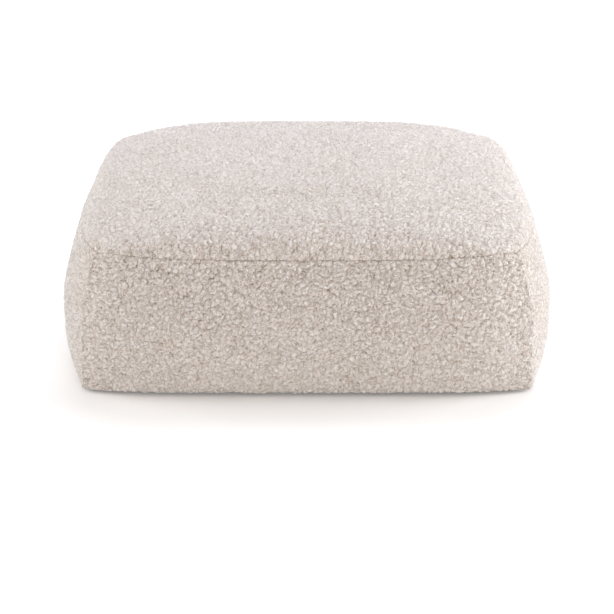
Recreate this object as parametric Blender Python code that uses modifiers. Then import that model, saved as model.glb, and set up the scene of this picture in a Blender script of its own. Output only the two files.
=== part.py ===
"""Square floor cushion: a removable boxed cover with a zip at the back, over a quilted inner.

Metres, +Z up.  The origin is the middle of the underside, and the front faces -Y.

The soft pieces nest like boxes.  Each one is laid out in a plain block, where every seam is
straight, and puff() then carries it to the filled shape: domed top, bulging sides, flat base.
Pieces that meet in the block therefore still meet, with the same gap, once they are filled.
"""

import math

import bmesh
import bpy

# Driving dimensions, all in metres
WIDTH = 0.630  # across the fullest part of the sides, both ways
HEIGHT = 0.220  # to the crown of the top
CORNER_HALF = 0.260  # from the middle to a sewn top corner, along X or Y
CORNER_HEIGHT = 0.180  # of the four top corners
GAP = 0.00025  # left at each rim, so that neighbours stay apart

# The filled shape
SIDE_OUT = WIDTH / 2 - CORNER_HALF  # how far a side's middle stands out of the top corners
TOP_SEAM_OUT = 0.030
BASE_SEAM_OUT = 0.033
CORNER_OUT = 0.018  # how far an upright corner seam's middle stands out, along X and Y alike
CORNER_BASE_OUT = 0.020
WIDEST = 0.5  # share of the height where the sides are fullest
SIDE_SQUARENESS = 5.0
BASE_ROUNDING = 4.0
TOP_ROUNDING = 1.5
CORNER_ROUNDING = 1.2
SEAM_DROOP = 0.003  # of a top seam's middle below its corners
DOME_SQUARENESS = 4.0
DOME_FULLNESS = 0.7

# The layers, from the outside in
COVER = 0.005
BASE_FABRIC = 0.0025
LINER_DEPTH = 0.0065
LINER = 0.001
WADDING_DEPTH = 0.0105
WADDING = 0.020
BASE_WADDING = 0.010
LAYER_GAP = 0.0015
ZIP_ROOM = 0.005  # extra depth of the liner behind the zip, at the back
WADDING_ZIP_ROOM = 0.007
WADDING_GAP = 0.0025

# The zip, which the back panel holds in a straight line
ZIP_HEIGHT = 0.045
ZIP_OUT = 0.030
ZIP_FACE = CORNER_HALF + ZIP_OUT  # the cover's outer face beside the zip
SLOT_HALF = 0.006
CHAIN_HALF = 0.1765
SLIDER_X = 0.170  # the slider's place when the zip is closed
TAPE_HALF = 0.194
TAPE_EDGE = 0.0008  # from the middle line to a tape's near edge
TAPE_WIDTH = 0.0100
TAPE_BACK = -0.0075  # depths are measured along Y from the cover's face
TAPE_FRONT = -0.0066
COIL_RADIUS = 0.0012
COIL_OFFSET = 0.0020
COIL_DEPTH = TAPE_FRONT + COIL_RADIUS + 0.0003
STOP_LENGTH = 0.003
STOP_CLEARANCE = 0.0005
STOP_TALL = 0.0026
SLIDER_HALF_LENGTH = 0.0055
SLIDER_HALF_WIDTH = 0.0046
BRIDGE_HALF_WIDTH = 0.0014
PULL_AXIS_DEPTH = -0.0010
PULL_LENGTH = 0.024
PULL_HALF_WIDTH = 0.004
PULL_HALF_THICK = 0.0007
PULL_EYE_HALF = 0.002
PULL_EYE_END = 0.0053

# The blank care label in the back left corner seam
LABEL_START = 0.0012
LABEL_REACH = 0.022  # beyond the start, outward
LABEL_HALF_THICK = 0.0004
LABEL_LOW = 0.060
LABEL_HIGH = 0.100

# Where the soft pieces are divided: shares of half the width, and of the height
HALF_COLUMNS = (0.0, 0.34, 0.56, 0.69, 0.75, 0.86, 0.94, 1.0)
COLUMNS = tuple(-share for share in reversed(HALF_COLUMNS[1:])) + HALF_COLUMNS
ROWS = (0.0, 0.07, 0.18, 0.30, WIDEST, 0.65, 0.85, 1.0)
SLOT_OPEN = 0.69
SLOT_CLOSED = 0.75
SLOT_ROW = 0.25  # marks the rows that the slot's edges replace


def clear_scene():
    for thing in list(bpy.data.objects):
        bpy.data.objects.remove(thing, do_unlink=True)


def make_collection(name):
    collection = bpy.data.collections.new(name)
    bpy.context.scene.collection.children.link(collection)
    return collection


def make_material(name, colour, roughness, metallic=0.0):
    material = bpy.data.materials.new(name)
    material.use_nodes = True
    shader = material.node_tree.nodes["Principled BSDF"]
    shader.inputs["Base Color"].default_value = (*colour, 1.0)
    shader.inputs["Roughness"].default_value = roughness
    shader.inputs["Metallic"].default_value = metallic
    return material


def ease(low, high, value):
    """0 below low, 1 above high, and a smooth step between."""
    share = min(max((value - low) / (high - low), 0.0), 1.0)
    return share * share * (3.0 - 2.0 * share)


def corner_bulge(up):
    """How far an upright corner seam stands out, along X and Y alike, up in 0..1 of its height."""
    if up < WIDEST:
        return CORNER_OUT - (CORNER_OUT - CORNER_BASE_OUT) * ((WIDEST - up) / WIDEST) ** BASE_ROUNDING
    return CORNER_OUT * (1.0 - ((up - WIDEST) / (1.0 - WIDEST)) ** CORNER_ROUNDING)


def side_bulge(along, up):
    """How far a side stands out, at along in -1..1 across it and up in 0..1 of its height."""
    if up < WIDEST:
        pulled_in = (SIDE_OUT - BASE_SEAM_OUT) * ((WIDEST - up) / WIDEST) ** BASE_ROUNDING
    else:
        pulled_in = (SIDE_OUT - TOP_SEAM_OUT) * ((up - WIDEST) / (1.0 - WIDEST)) ** TOP_ROUNDING
    corner = corner_bulge(up)
    return corner + (SIDE_OUT - pulled_in - corner) * (1.0 - abs(along) ** SIDE_SQUARENESS)


def back_bulge(along, up):
    """The same for the back, where the zip holds the fabric in along a straight line."""
    free = side_bulge(along, up)
    near_zip = ease(0.06, 0.18, up) * (1.0 - ease(0.30, WIDEST, up))
    return free + (min(free, ZIP_OUT) - free) * near_zip


def puff(point):
    """Carry a point of the plain block to its place in the filled cushion."""
    x, y, z = point
    across = x / CORNER_HALF
    deep = y / CORNER_HALF
    up = min(max(z / CORNER_HEIGHT, 0.0), 1.0)
    reach = max(abs(across), abs(deep), 1e-6)
    out_x = out_y = corner_bulge(up)
    if abs(across) >= abs(deep):
        out_x = side_bulge(deep / reach, up)
    elif deep < 0.0:
        out_y = side_bulge(across / reach, up)
    else:
        out_y = back_bulge(across / reach, up)
    x *= 1.0 + out_x / CORNER_HALF
    y *= 1.0 + out_y / CORNER_HALF
    droop = SEAM_DROOP * (1.0 - (across * deep) ** 2)
    swell = (1.0 - abs(across) ** DOME_SQUARENESS) * (1.0 - abs(deep) ** DOME_SQUARENESS)
    crown = HEIGHT - CORNER_HEIGHT + droop
    z += crown * max(swell, 0.0) ** DOME_FULLNESS * up**1.5 - droop * up**3
    return x, y, z


class Skin:
    """One nested box of the block: the outer or the inner face of a layer."""

    def __init__(self, depth, back_depth, low, high, filled=True, gap=GAP):
        self.half = CORNER_HALF - depth
        self.back = CORNER_HALF - back_depth
        self.low = low
        self.high = high
        self.filled = filled
        self.gap = gap

    def place(self, across, deep, z):
        """The point at shares across and deep of this skin's own half widths."""
        half_y = self.back if deep > 0.0 else self.half
        point = (across * self.half, deep * half_y, z)
        return puff(point) if self.filled else point

    def height(self, share):
        """The height at a share of the way up, which leaves the gap at both seams."""
        return self.low + self.gap + (self.high - self.low - 2.0 * self.gap) * share


def cut_block(first, second):
    """A box whose two large faces are cut into a grid, given as the cuts' places in order."""
    shape = bmesh.new()
    bmesh.ops.create_cube(shape, size=1.0)
    for vertex in shape.verts:
        vertex.co.x = first[0] if vertex.co.x < 0 else first[-1]
        vertex.co.y = second[0] if vertex.co.y < 0 else second[-1]
    for axis, cuts in ((0, first), (1, second)):
        normal = [0.0, 0.0, 0.0]
        normal[axis] = 1.0
        for cut in cuts[1:-1]:
            centre = [0.0, 0.0, 0.0]
            centre[axis] = cut
            everything = shape.verts[:] + shape.edges[:] + shape.faces[:]
            bmesh.ops.bisect_plane(shape, geom=everything, plane_co=centre, plane_no=normal, dist=1e-5)
    return shape


def finish_mesh(name, shape, material, collection):
    mesh = bpy.data.meshes.new(name)
    shape.to_mesh(mesh)
    shape.free()
    mesh.materials.append(material)
    mesh.shade_smooth()
    mesh.set_sharp_from_angle(angle=math.radians(40))
    piece = bpy.data.objects.new(name, mesh)
    collection.objects.link(piece)
    return piece


def flat_panel(name, outer, inner, upper, material, collection):
    """A top or a base: both faces of the layer, mitred round the rim."""
    shape = cut_block(COLUMNS, COLUMNS)
    for vertex in shape.verts:
        skin = outer if vertex.co.z > 0 else inner
        shrink = 1.0 - skin.gap / skin.half
        z = skin.high if upper else skin.low
        vertex.co = skin.place(vertex.co.x * shrink, vertex.co.y * shrink, z)
    if not upper:
        # the block's outer face points up, and a base's points down
        bmesh.ops.reverse_faces(shape, faces=shape.faces[:])
    return finish_mesh(name, shape, material, collection)


def side_panel(name, outer, inner, turn, rows, material, collection, edge=None):
    """One of the four sides.  turn(along) gives its place round the block.

    edge(share, along) may move a row's height, for a panel that stops short of the seam.
    """
    shape = cut_block(COLUMNS, rows)
    for vertex in shape.verts:
        skin = outer if vertex.co.z > 0 else inner
        share = vertex.co.y
        along = vertex.co.x
        across, deep = turn(along * (1.0 - skin.gap / skin.half))
        z = skin.height(share)
        if edge is not None:
            z = edge(share, along, z)
        vertex.co = skin.place(across, deep, z)
    return finish_mesh(name, shape, material, collection)


def band(name, outer, inner, material, collection):
    """A strip that goes round all four sides and is joined where its ends meet."""
    sides = 4
    around = [side + (share + 1.0) / 2.0 for side in range(sides) for share in COLUMNS[:-1]]
    around.append(float(sides))
    shape = cut_block(around, ROWS)
    ends = [
        face
        for face in shape.faces
        if all(vertex.co.x < 1e-4 for vertex in face.verts)
        or all(vertex.co.x > sides - 1e-4 for vertex in face.verts)
    ]
    bmesh.ops.delete(shape, geom=ends, context="FACES_ONLY")
    for vertex in shape.verts:
        skin = outer if vertex.co.z > 0 else inner
        side = int(vertex.co.x + 1e-4) % sides
        along = 2.0 * (vertex.co.x - int(vertex.co.x + 1e-4)) - 1.0
        across, deep = TURNS[side](along)
        vertex.co = skin.place(across, deep, skin.height(vertex.co.y))
    bmesh.ops.remove_doubles(shape, verts=shape.verts[:], dist=1e-5)
    return finish_mesh(name, shape, material, collection)


# front, right, back, left: where a share along each side lies, walking round the block
TURNS = (
    lambda along: (along, -1.0),
    lambda along: (1.0, along),
    lambda along: (-along, 1.0),
    lambda along: (-1.0, -along),
)


def slot_half(along):
    """Half the height of the opening round the zip: open in the middle, closed at its ends."""
    closing = (abs(along) - SLOT_OPEN) / (SLOT_CLOSED - SLOT_OPEN)
    return SLOT_HALF + (GAP - SLOT_HALF) * min(max(closing, 0.0), 1.0)


def box(name, low, high, material, collection, bevel=0.0):
    shape = bmesh.new()
    bmesh.ops.create_cube(shape, size=1.0)
    for vertex in shape.verts:
        for axis in range(3):
            vertex.co[axis] = high[axis] if vertex.co[axis] > 0 else low[axis]
    piece = finish_mesh(name, shape, material, collection)
    if bevel:
        rounding = piece.modifiers.new("rounded edges", "BEVEL")
        rounding.width = bevel
        rounding.segments = 2
    return piece


def outline(name, loops, half_thick, material, collection):
    """A flat outline, extruded half_thick both ways along its own Z."""
    curve = bpy.data.curves.new(name, "CURVE")
    curve.dimensions = "2D"
    curve.fill_mode = "BOTH"
    curve.extrude = half_thick
    for points in loops:
        spline = curve.splines.new("POLY")
        spline.points.add(len(points) - 1)
        for point, (x, y) in zip(spline.points, points):
            point.co = (x, y, 0.0, 1.0)
        spline.use_cyclic_u = True
    curve.materials.append(material)
    piece = bpy.data.objects.new(name, curve)
    collection.objects.link(piece)
    return piece


def meshed(piece, collection):
    """The curve object as a mesh object of the same name and place, with its caps welded."""
    bpy.context.view_layer.update()
    evaluated = piece.evaluated_get(bpy.context.evaluated_depsgraph_get())
    mesh = bpy.data.meshes.new_from_object(evaluated)
    shape = bmesh.new()
    shape.from_mesh(mesh)
    bmesh.ops.remove_doubles(shape, verts=shape.verts[:], dist=1e-6)
    shape.to_mesh(mesh)
    shape.free()
    name = piece.name
    place = piece.matrix_world.copy()
    bpy.data.objects.remove(piece, do_unlink=True)
    made = bpy.data.objects.new(name, mesh)
    made.matrix_world = place
    collection.objects.link(made)
    return made


def build_cover(materials, collection):
    outer = Skin(0.0, 0.0, 0.0, CORNER_HEIGHT)
    inner = Skin(COVER, COVER, BASE_FABRIC, CORNER_HEIGHT - COVER)
    teddy = materials["teddy_fabric"]
    flat_panel("cover_top_panel", outer, inner, True, teddy, collection)
    flat_panel("cover_base_panel", outer, inner, False, materials["base_fabric"], collection)
    front, right, back, left = TURNS
    for name, turn in (("front", front), ("right", right), ("left", left)):
        side_panel(f"cover_{name}_panel", outer, inner, turn, ROWS, teddy, collection)

    # The back is two strips, and the zip closes the slot between them
    def upper_edge(share, along, z):
        slot_top = ZIP_HEIGHT + slot_half(along)
        return slot_top if share == upper_rows[0] else z

    def lower_edge(share, along, z):
        slot_bottom = ZIP_HEIGHT - slot_half(along)
        return slot_bottom if share == lower_rows[-1] else z

    upper_rows = (SLOT_ROW, *ROWS[3:])
    lower_rows = (*ROWS[:3], SLOT_ROW)
    side_panel(
        "cover_back_upper_strip", outer, inner, back, upper_rows, teddy, collection, upper_edge
    )
    side_panel(
        "cover_back_lower_strip", outer, inner, back, lower_rows, teddy, collection, lower_edge
    )


def build_filling(materials, collection):
    liner_high = CORNER_HEIGHT - LINER_DEPTH
    liner_low = BASE_FABRIC + LAYER_GAP
    outer = Skin(LINER_DEPTH, LINER_DEPTH + ZIP_ROOM, liner_low, liner_high)
    depth = LINER_DEPTH + LINER
    inner = Skin(depth, depth + ZIP_ROOM, liner_low + LINER, liner_high - LINER)
    nonwoven = materials["liner_nonwoven"]
    flat_panel("liner_top_panel", outer, inner, True, nonwoven, collection)
    flat_panel("liner_base_panel", outer, inner, False, nonwoven, collection)
    band("liner_side_band", outer, inner, nonwoven, collection)

    wadding_low = liner_low + LINER + LAYER_GAP
    wadding_high = CORNER_HEIGHT - WADDING_DEPTH
    back_depth = WADDING_DEPTH + WADDING_ZIP_ROOM
    outer = Skin(WADDING_DEPTH, back_depth, wadding_low, wadding_high, gap=WADDING_GAP)
    depth = WADDING_DEPTH + WADDING
    foam_low = wadding_low + BASE_WADDING
    foam_high = wadding_high - WADDING
    inner = Skin(depth, depth, foam_low, foam_high, filled=False, gap=WADDING_GAP)
    fibre = materials["wadding_fibre"]
    flat_panel("wadding_top_layer", outer, inner, True, fibre, collection)
    flat_panel("wadding_base_layer", outer, inner, False, fibre, collection)
    band("wadding_side_band", outer, inner, fibre, collection)

    half = inner.half - LAYER_GAP
    low = foam_low + LAYER_GAP
    high = foam_high - LAYER_GAP
    middle = (low + high) / 2.0
    firm = materials["foam_firm"]
    soft = materials["foam_soft"]
    box("foam_core_lower", (-half, -half, low), (half, half, middle - GAP), firm, collection, 0.004)
    box("foam_core_upper", (-half, -half, middle + GAP), (half, half, high), soft, collection, 0.004)


def build_zip(materials, collection, cutters):
    tape = materials["zip_tape"]
    coil = materials["zip_coil"]
    metal = materials["zip_metal"]
    face = ZIP_FACE
    for name, sign in (("upper", 1.0), ("lower", -1.0)):
        edges = sorted((ZIP_HEIGHT + sign * TAPE_EDGE, ZIP_HEIGHT + sign * (TAPE_EDGE + TAPE_WIDTH)))
        low = (-TAPE_HALF, face + TAPE_BACK, edges[0])
        high = (TAPE_HALF, face + TAPE_FRONT, edges[1])
        box(f"zip_tape_{name}", low, high, tape, collection)
        wire = bpy.data.curves.new(f"zip_coil_{name}", "CURVE")
        wire.dimensions = "3D"
        wire.bevel_depth = COIL_RADIUS
        wire.bevel_resolution = 2
        wire.use_fill_caps = True
        spline = wire.splines.new("POLY")
        spline.points.add(1)
        centre_z = ZIP_HEIGHT + sign * COIL_OFFSET
        spline.points[0].co = (-CHAIN_HALF, face + COIL_DEPTH, centre_z, 1.0)
        spline.points[1].co = (CHAIN_HALF, face + COIL_DEPTH, centre_z, 1.0)
        wire.materials.append(coil)
        collection.objects.link(bpy.data.objects.new(f"zip_coil_{name}", wire))
        stop_low = (CHAIN_HALF + STOP_CLEARANCE, face + TAPE_FRONT + GAP, centre_z - STOP_TALL / 2.0)
        stop_high = (
            CHAIN_HALF + STOP_CLEARANCE + STOP_LENGTH,
            face + TAPE_FRONT + GAP + STOP_TALL,
            centre_z + STOP_TALL / 2.0,
        )
        box(f"zip_top_stop_{name}", stop_low, stop_high, metal, collection, 0.0005)
    reach = COIL_OFFSET + STOP_TALL / 2.0
    stop_low = (-CHAIN_HALF - STOP_CLEARANCE - STOP_LENGTH, face + TAPE_FRONT + GAP, ZIP_HEIGHT - reach)
    stop_high = (-CHAIN_HALF - STOP_CLEARANCE, face + TAPE_FRONT + GAP + STOP_TALL, ZIP_HEIGHT + reach)
    box("zip_bottom_stop", stop_low, stop_high, metal, collection, 0.0005)
    build_slider(metal, collection, cutters)
    build_pull(metal, collection)


def build_slider(metal, collection, cutters):
    """Front and back plates joined by a post between the tapes, with lips round the coils."""
    wide = SLIDER_HALF_WIDTH
    lip = wide - 0.0008
    post = 0.0004
    plate_front = -0.0022
    plate_back = -0.0034
    lip_end = -0.0056
    rear_front = TAPE_BACK - 0.0004
    rear_back = TAPE_BACK - 0.0016
    right_half = [
        (plate_front, wide),
        (lip_end, wide),
        (lip_end, lip),
        (plate_back, lip),
        (plate_back, post),
        (rear_front, post),
        (rear_front, wide),
        (rear_back, wide),
    ]
    section = right_half + [(depth, -side) for depth, side in reversed(right_half)]
    slider = outline("zip_slider", [section], SLIDER_HALF_LENGTH, metal, collection)
    slider.location = (SLIDER_X, ZIP_FACE, ZIP_HEIGHT)
    # the outline's own X is depth along Y, its Y is height along Z, and it is extruded along X
    slider.rotation_euler = (math.radians(90), 0.0, math.radians(90))
    slider = meshed(slider, collection)

    foot = 0.0042
    span = 0.0030
    arch = [
        (-foot, -0.0026),
        (-foot, 0.0006),
        (-span, 0.0012),
        (span, 0.0012),
        (foot, 0.0006),
        (foot, -0.0026),
        (span, -0.0026),
        (span, 0.0002),
        (-span, 0.0002),
        (-span, -0.0026),
    ]
    bridge = outline("slider_bridge_shape", [arch], BRIDGE_HALF_WIDTH, metal, cutters)
    bridge.location = (SLIDER_X, ZIP_FACE, ZIP_HEIGHT)
    bridge = meshed(bridge, cutters)
    bridge.hide_render = True
    bridge.display_type = "WIRE"
    joined = slider.modifiers.new("bridge", "BOOLEAN")
    joined.operation = "UNION"
    joined.solver = "EXACT"
    joined.object = bridge


def build_pull(metal, collection):
    """A flat tab whose eye goes round the slider's bridge; its origin is on the hinge."""
    end = PULL_HALF_THICK
    width = PULL_HALF_WIDTH
    tip_steps = 8
    tab = [(end, -width), (end, width)]
    for step in range(tip_steps + 1):
        angle = math.pi * step / tip_steps
        tab.append((width - PULL_LENGTH - width * math.sin(angle), width * math.cos(angle)))
    eye = [
        (-end, -PULL_EYE_HALF),
        (-PULL_EYE_END, -PULL_EYE_HALF),
        (-PULL_EYE_END, PULL_EYE_HALF),
        (-end, PULL_EYE_HALF),
    ]
    pull = outline("zip_pull_tab", [tab, eye], PULL_HALF_THICK, metal, collection)
    pull.location = (SLIDER_X, ZIP_FACE + PULL_AXIS_DEPTH, ZIP_HEIGHT)
    pull.rotation_euler = (math.radians(90), 0.0, 0.0)
    meshed(pull, collection)


def build_label(material, collection):
    """A folded label whose fold stands out of the back left corner seam, square to it."""
    corner = CORNER_HALF + CORNER_OUT
    label = box(
        "care_label",
        (LABEL_START, -LABEL_HALF_THICK, LABEL_LOW),
        (LABEL_START + LABEL_REACH, LABEL_HALF_THICK, LABEL_HIGH),
        material,
        collection,
    )
    label.location = (-corner, corner, 0.0)
    label.rotation_euler = (0.0, 0.0, math.radians(135))


def build_cushion():
    clear_scene()
    collection = make_collection("floor_cushion")
    cutters = make_collection("cutters")
    materials = {
        "teddy_fabric": make_material("teddy_fabric", (0.78, 0.73, 0.67), 0.95),
        "base_fabric": make_material("base_fabric", (0.20, 0.18, 0.16), 0.9),
        "liner_nonwoven": make_material("liner_nonwoven", (0.85, 0.85, 0.84), 0.85),
        "wadding_fibre": make_material("wadding_fibre", (0.92, 0.92, 0.91), 0.95),
        "foam_firm": make_material("foam_firm", (0.72, 0.74, 0.78), 0.9),
        "foam_soft": make_material("foam_soft", (0.90, 0.85, 0.66), 0.9),
        "zip_tape": make_material("zip_tape", (0.74, 0.69, 0.62), 0.85),
        "zip_coil": make_material("zip_coil", (0.80, 0.76, 0.70), 0.4),
        "zip_metal": make_material("zip_metal", (0.62, 0.62, 0.63), 0.3, 1.0),
        "label_satin": make_material("label_satin", (0.92, 0.91, 0.88), 0.45),
    }
    build_cover(materials, collection)
    build_filling(materials, collection)
    build_zip(materials, collection, cutters)
    build_label(materials["label_satin"], collection)


build_cushion()
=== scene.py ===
"""The looks of the square floor cushion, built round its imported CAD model.

Metres, +Z up, front towards -Y.  A cloth simulation settles the cover between its sewn seams.
Each panel is then cut from that shape as a fine mesh that carries the curly pile.
"""

import math

import bmesh
import bpy
import numpy as np
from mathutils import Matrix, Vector


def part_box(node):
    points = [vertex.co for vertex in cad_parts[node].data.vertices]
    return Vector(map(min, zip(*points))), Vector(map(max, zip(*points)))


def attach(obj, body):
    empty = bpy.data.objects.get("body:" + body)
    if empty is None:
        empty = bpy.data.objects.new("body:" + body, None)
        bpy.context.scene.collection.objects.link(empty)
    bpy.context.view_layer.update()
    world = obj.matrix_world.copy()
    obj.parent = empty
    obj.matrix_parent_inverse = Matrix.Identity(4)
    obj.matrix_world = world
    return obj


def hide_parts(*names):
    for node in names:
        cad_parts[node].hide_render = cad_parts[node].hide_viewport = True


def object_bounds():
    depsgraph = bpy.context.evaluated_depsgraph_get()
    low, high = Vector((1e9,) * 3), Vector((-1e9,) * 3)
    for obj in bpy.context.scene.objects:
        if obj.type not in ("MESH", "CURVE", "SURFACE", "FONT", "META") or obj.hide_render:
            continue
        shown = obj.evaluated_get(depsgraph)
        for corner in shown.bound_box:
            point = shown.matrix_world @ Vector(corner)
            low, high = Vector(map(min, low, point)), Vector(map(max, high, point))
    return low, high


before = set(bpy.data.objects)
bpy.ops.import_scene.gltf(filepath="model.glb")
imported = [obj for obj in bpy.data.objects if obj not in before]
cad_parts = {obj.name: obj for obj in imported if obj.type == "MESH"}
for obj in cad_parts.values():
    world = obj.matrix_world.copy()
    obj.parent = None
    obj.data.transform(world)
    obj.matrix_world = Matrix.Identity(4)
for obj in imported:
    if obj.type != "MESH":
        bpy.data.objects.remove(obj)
cad_low, cad_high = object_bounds()

# ---------------------------------------------------------------- sizes

# From the frame
front_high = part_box("cover_front_panel")[1]
tape_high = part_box("zip_tape_upper")[1]
coil_low, coil_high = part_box("zip_coil_upper")
lower_coil_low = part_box("zip_coil_lower")[0]
slider_low, slider_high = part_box("zip_slider")
label_low, label_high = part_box("care_label")
core_low, core_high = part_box("foam_core_lower")
soft_core_low, soft_core_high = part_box("foam_core_upper")
base_low, base_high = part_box("cover_base_panel")

SEAM_RISE = 0.0003  # half a seam's gap, from a side panel's top edge up to the seam itself
CORNER = 0.260  # from the middle to a sewn top corner
CORNER_Z = front_high.z + SEAM_RISE
SIDE_OUT = cad_high.x - CORNER
CROWN = cad_high.z
ZIP_Z = (coil_high.z + lower_coil_low.z) / 2
TAPE_INSET = 0.0066  # the tapes' front lies this far behind the cover's face
ZIP_FACE = tape_high.y + TAPE_INSET
ZIP_OUT = ZIP_FACE - CORNER
SLOT_HALF = 0.0050  # half the height of the slot that shows the zip
SLOT_OPEN = 0.645  # shares of the back's half width: the slot is fully open within this
SLOT_CLOSED = 0.69  # and sewn shut beyond this

# The filled shape, as in the CAD model
TOP_SEAM_OUT = 0.030  # how far the middle of a side's top seam stands out past the corners
BASE_SEAM_OUT = 0.033
CORNER_OUT = 0.018
CORNER_BASE_OUT = 0.020
WIDEST = 0.5  # a share of the side's height
SIDE_SQUARENESS = 5.0
BASE_ROUNDING = 4.0
TOP_ROUNDING = 1.5
CORNER_ROUNDING = 1.2
SEAM_DROOP = 0.003
DOME_SQUARENESS = 4.0
COVER_FULLNESS = 0.52  # a lower power makes a fuller dome
FILLING_FULLNESS = 0.7

# The pile
PILE = 0.0050
FABRIC = 0.0018
SEAM_GROOVE = 0.0010
SEAM_GAP = 0.0001
SEED = 11

FINE = 1  # divides the panels' counts of cells

rng = np.random.default_rng(SEED)


# ---------------------------------------------------------------- the filled shape


def ease(low, high, value):
    """0 below low, 1 above high, and a smooth step between."""
    share = np.clip((value - low) / (high - low), 0.0, 1.0)
    return share * share * (3.0 - 2.0 * share)


def corner_bulge(up):
    """How far an upright corner seam stands out, along X and Y alike."""
    below = np.clip((WIDEST - up) / WIDEST, 0.0, 1.0) ** BASE_ROUNDING
    above = np.clip((up - WIDEST) / (1.0 - WIDEST), 0.0, 1.0) ** CORNER_ROUNDING
    return CORNER_OUT - (CORNER_OUT - CORNER_BASE_OUT) * below - CORNER_OUT * above


def side_bulge(along, up):
    """How far a side stands out, at along in -1..1 across it and up in 0..1 of its height."""
    below = np.clip((WIDEST - up) / WIDEST, 0.0, 1.0) ** BASE_ROUNDING
    above = np.clip((up - WIDEST) / (1.0 - WIDEST), 0.0, 1.0) ** TOP_ROUNDING
    pulled_in = (SIDE_OUT - BASE_SEAM_OUT) * below + (SIDE_OUT - TOP_SEAM_OUT) * above
    corner = corner_bulge(up)
    return corner + (SIDE_OUT - pulled_in - corner) * (1.0 - np.abs(along) ** SIDE_SQUARENESS)


def back_bulge(along, up):
    """The same for the back, where the zip holds the fabric along a straight line."""
    free = side_bulge(along, up)
    near_zip = ease(0.06, 0.18, up) * (1.0 - ease(0.30, WIDEST, up))
    return free + (np.minimum(free, ZIP_OUT) - free) * near_zip


def puff(block, fullness):
    """Carry points of a plain block, with straight seams, to the filled cushion."""
    x, y, z = block[..., 0], block[..., 1], block[..., 2]
    across, deep = x / CORNER, y / CORNER
    up = np.clip(z / CORNER_Z, 0.0, 1.0)
    reach = np.maximum(np.maximum(np.abs(across), np.abs(deep)), 1e-6)
    sideways = np.abs(across) >= np.abs(deep)
    facing = np.where(deep < 0.0, side_bulge(across / reach, up), back_bulge(across / reach, up))
    out_x = np.where(sideways, side_bulge(deep / reach, up), corner_bulge(up))
    out_y = np.where(sideways, corner_bulge(up), facing)
    droop = SEAM_DROOP * (1.0 - (across * deep) ** 2)
    swell = (1.0 - np.abs(across) ** DOME_SQUARENESS) * (1.0 - np.abs(deep) ** DOME_SQUARENESS)
    lift = (CROWN - CORNER_Z + droop) * np.clip(swell, 0.0, 1.0) ** fullness
    rise = lift * up**1.5 - droop * up**3
    return np.stack([x * (1 + out_x / CORNER), y * (1 + out_y / CORNER), z + rise], axis=-1)


FACES = ("top", "base", "front", "right", "back", "left")


def box_face(name, across, up):
    """Points of one face of the box from -1 to 1, seen from outside, from its own shares."""
    one = np.ones_like(across)
    turned = {
        "top": (across, up, one),
        "base": (across, -up, -one),
        "front": (across, -one, up),
        "right": (one, across, up),
        "back": (-across, one, up),
        "left": (-one, -across, up),
    }[name]
    return np.stack(turned, axis=-1)


def box_cage(across, upright):
    """A closed box from -1 to 1, cut at the given shares: points, quads, and each face's own."""
    grids = {}
    for name in FACES:
        up = across if name in ("top", "base") else upright
        columns, rows = np.meshgrid(across, up)
        grids[name] = box_face(name, columns, rows)
    stacked = np.concatenate([grid.reshape(-1, 3) for grid in grids.values()])
    rounded = np.round(stacked * 1e6).astype(int)
    _, first, index = np.unique(rounded, axis=0, return_index=True, return_inverse=True)
    index = index.reshape(-1)
    own, quads, start = {}, [], 0
    for name, grid in grids.items():
        count = grid.shape[0] * grid.shape[1]
        own[name] = index[start : start + count].reshape(grid.shape[:2])
        quads.append(grid_quads(own[name]))
        start += count
    return stacked[first], np.concatenate(quads), own


def grid_quads(index):
    corners = [index[:-1, :-1], index[:-1, 1:], index[1:, 1:], index[1:, :-1]]
    return np.stack(corners, axis=-1).reshape(-1, 4)


CAGE_ACROSS = 56
CAGE_UP = 20


def cover_block(box):
    """A point of the box from -1 to 1 in the cover's plain block."""
    return np.stack([box[..., 0] * CORNER, box[..., 1] * CORNER, (box[..., 2] + 1) / 2 * CORNER_Z], axis=-1)


def cage_mesh(points, quads):
    """A mesh of the cage, and its smoothed normals."""
    mesh = bpy.data.meshes.new("cover_cage")
    mesh.from_pydata(points.tolist(), [], quads.tolist())
    normals = np.empty(len(points) * 3)
    mesh.vertex_normals.foreach_get("vector", normals)
    return mesh, normals.reshape(-1, 3)


def settle_cover():
    """The cover's shape as a cage: each face's points and smoothed normals."""
    box, quads, own = box_cage(np.linspace(-1, 1, CAGE_ACROSS + 1), np.linspace(-1, 1, CAGE_UP + 1))
    block = cover_block(box)
    full = puff(block, COVER_FULLNESS)
    full = simulate(block, full, quads, own)
    mesh, normals = cage_mesh(full, quads)
    bpy.data.meshes.remove(mesh)
    return {name: (full[own[name]], normals[own[name]]) for name in FACES}


CLOTH_FRAMES = 20
CLOTH_SLACK = 0.006  # how far the cover starts inside its filled shape
CLOTH_WAVES = (37.0, 31.0, 45.0)  # radians a metre, of the slack's unevenness
CLOTH_UNEVEN = 0.3
CLOTH_MOST = 0.025  # the simulation can't carry a point further than this
CLOTH_STRAY = 0.004  # the settled cover stays this close to the filled shape
CLOTH_INWARD = 0.0008  # the layers below leave no more room than this


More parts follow.
